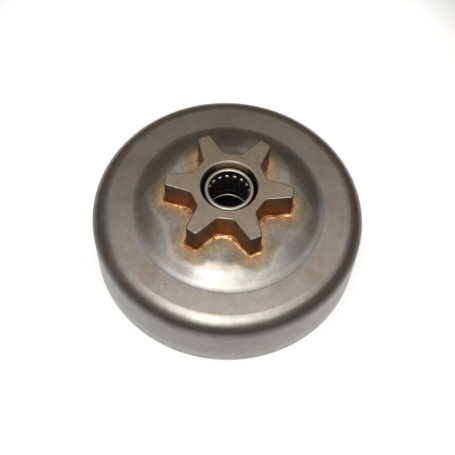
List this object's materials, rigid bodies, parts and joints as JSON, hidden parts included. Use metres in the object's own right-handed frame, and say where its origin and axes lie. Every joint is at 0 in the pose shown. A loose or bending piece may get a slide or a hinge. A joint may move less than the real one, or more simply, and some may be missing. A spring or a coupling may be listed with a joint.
{
  "type": "chainsaw clutch drum with spur sprocket",
  "caption": "Pressed steel clutch drum with a brazed spur sprocket for the saw chain and a caged needle bearing in its bore.",
  "frame": {"origin": "centre of the drum's open rim, on the plane it stands on", "axes": "+Z along the crankshaft axis from the open rim towards the sprocket, +X through a tooth"},
  "size_m": [0.07, 0.07, 0.028],
  "materials": {
    "drum_steel": "satin drawn steel, warm grey",
    "sprocket_steel": "matte hardened steel with fine scratches, browned by heat at the foot",
    "copper_braze": "copper braze, bright in places",
    "bearing_steel": "smooth drawn steel",
    "cage_steel": "dark oiled steel",
    "roller_steel": "ground bright steel"
  },
  "bodies": {
    "drum": {"clutch_drum": "drum_steel", "spur_sprocket": "sprocket_steel", "braze_fillet": "copper_braze", "bearing_cup": "bearing_steel"},
    "cage": {"bearing_cage": "cage_steel"},
    "roller_01": {"needle_roller_01": "roller_steel"},
    "roller_02": {"needle_roller_02": "roller_steel"},
    "roller_03": {"needle_roller_03": "roller_steel"},
    "roller_04": {"needle_roller_04": "roller_steel"},
    "roller_05": {"needle_roller_05": "roller_steel"},
    "roller_06": {"needle_roller_06": "roller_steel"},
    "roller_07": {"needle_roller_07": "roller_steel"},
    "roller_08": {"needle_roller_08": "roller_steel"},
    "roller_09": {"needle_roller_09": "roller_steel"},
    "roller_10": {"needle_roller_10": "roller_steel"},
    "roller_11": {"needle_roller_11": "roller_steel"},
    "roller_12": {"needle_roller_12": "roller_steel"},
    "roller_13": {"needle_roller_13": "roller_steel"},
    "roller_14": {"needle_roller_14": "roller_steel"},
    "roller_15": {"needle_roller_15": "roller_steel"},
    "roller_16": {"needle_roller_16": "roller_steel"},
    "roller_17": {"needle_roller_17": "roller_steel"},
    "roller_18": {"needle_roller_18": "roller_steel"}
  },
  "joints": [
    {"name": "cage_spin", "type": "hinge", "parent": "drum", "child": "cage", "pos_m": [0, 0, 0.02065], "axis": [0, 0, 1], "continuous": true},
    {"name": "roller_01_spin", "type": "hinge", "parent": "cage", "child": "roller_01", "pos_m": [0.00576, 0, 0.02065], "axis": [0, 0, 1], "continuous": true},
    {"name": "roller_02_spin", "type": "hinge", "parent": "cage", "child": "roller_02", "pos_m": [0.00541, 0.00197, 0.02065], "axis": [0, 0, 1], "continuous": true},
    {"name": "roller_03_spin", "type": "hinge", "parent": "cage", "child": "roller_03", "pos_m": [0.00441, 0.0037, 0.02065], "axis": [0, 0, 1], "continuous": true},
    {"name": "roller_04_spin", "type": "hinge", "parent": "cage", "child": "roller_04", "pos_m": [0.00288, 0.00499, 0.02065], "axis": [0, 0, 1], "continuous": true},
    {"name": "roller_05_spin", "type": "hinge", "parent": "cage", "child": "roller_05", "pos_m": [0.001, 0.00567, 0.02065], "axis": [0, 0, 1], "continuous": true},
    {"name": "roller_06_spin", "type": "hinge", "parent": "cage", "child": "roller_06", "pos_m": [-0.001, 0.00567, 0.02065], "axis": [0, 0, 1], "continuous": true},
    {"name": "roller_07_spin", "type": "hinge", "parent": "cage", "child": "roller_07", "pos_m": [-0.00288, 0.00499, 0.02065], "axis": [0, 0, 1], "continuous": true},
    {"name": "roller_08_spin", "type": "hinge", "parent": "cage", "child": "roller_08", "pos_m": [-0.00441, 0.0037, 0.02065], "axis": [0, 0, 1], "continuous": true},
    {"name": "roller_09_spin", "type": "hinge", "parent": "cage", "child": "roller_09", "pos_m": [-0.00541, 0.00197, 0.02065], "axis": [0, 0, 1], "continuous": true},
    {"name": "roller_10_spin", "type": "hinge", "parent": "cage", "child": "roller_10", "pos_m": [-0.00576, 0, 0.02065], "axis": [0, 0, 1], "continuous": true},
    {"name": "roller_11_spin", "type": "hinge", "parent": "cage", "child": "roller_11", "pos_m": [-0.00541, -0.00197, 0.02065], "axis": [0, 0, 1], "continuous": true},
    {"name": "roller_12_spin", "type": "hinge", "parent": "cage", "child": "roller_12", "pos_m": [-0.00441, -0.0037, 0.02065], "axis": [0, 0, 1], "continuous": true},
    {"name": "roller_13_spin", "type": "hinge", "parent": "cage", "child": "roller_13", "pos_m": [-0.00288, -0.00499, 0.02065], "axis": [0, 0, 1], "continuous": true},
    {"name": "roller_14_spin", "type": "hinge", "parent": "cage", "child": "roller_14", "pos_m": [-0.001, -0.00567, 0.02065], "axis": [0, 0, 1], "continuous": true},
    {"name": "roller_15_spin", "type": "hinge", "parent": "cage", "child": "roller_15", "pos_m": [0.001, -0.00567, 0.02065], "axis": [0, 0, 1], "continuous": true},
    {"name": "roller_16_spin", "type": "hinge", "parent": "cage", "child": "roller_16", "pos_m": [0.00288, -0.00499, 0.02065], "axis": [0, 0, 1], "continuous": true},
    {"name": "roller_17_spin", "type": "hinge", "parent": "cage", "child": "roller_17", "pos_m": [0.00441, -0.0037, 0.02065], "axis": [0, 0, 1], "continuous": true},
    {"name": "roller_18_spin", "type": "hinge", "parent": "cage", "child": "roller_18", "pos_m": [0.00541, -0.00197, 0.02065], "axis": [0, 0, 1], "continuous": true}
  ],
  "couplings": [
    {"joint": "roller_01_spin", "follows": "cage_spin", "ratio": -8.7333},
    {"joint": "roller_02_spin", "follows": "cage_spin", "ratio": -8.7333},
    {"joint": "roller_03_spin", "follows": "cage_spin", "ratio": -8.7333},
    {"joint": "roller_04_spin", "follows": "cage_spin", "ratio": -8.7333},
    {"joint": "roller_05_spin", "follows": "cage_spin", "ratio": -8.7333},
    {"joint": "roller_06_spin", "follows": "cage_spin", "ratio": -8.7333},
    {"joint": "roller_07_spin", "follows": "cage_spin", "ratio": -8.7333},
    {"joint": "roller_08_spin", "follows": "cage_spin", "ratio": -8.7333},
    {"joint": "roller_09_spin", "follows": "cage_spin", "ratio": -8.7333},
    {"joint": "roller_10_spin", "follows": "cage_spin", "ratio": -8.7333},
    {"joint": "roller_11_spin", "follows": "cage_spin", "ratio": -8.7333},
    {"joint": "roller_12_spin", "follows": "cage_spin", "ratio": -8.7333},
    {"joint": "roller_13_spin", "follows": "cage_spin", "ratio": -8.7333},
    {"joint": "roller_14_spin", "follows": "cage_spin", "ratio": -8.7333},
    {"joint": "roller_15_spin", "follows": "cage_spin", "ratio": -8.7333},
    {"joint": "roller_16_spin", "follows": "cage_spin", "ratio": -8.7333},
    {"joint": "roller_17_spin", "follows": "cage_spin", "ratio": -8.7333},
    {"joint": "roller_18_spin", "follows": "cage_spin", "ratio": -8.7333}
  ]
}
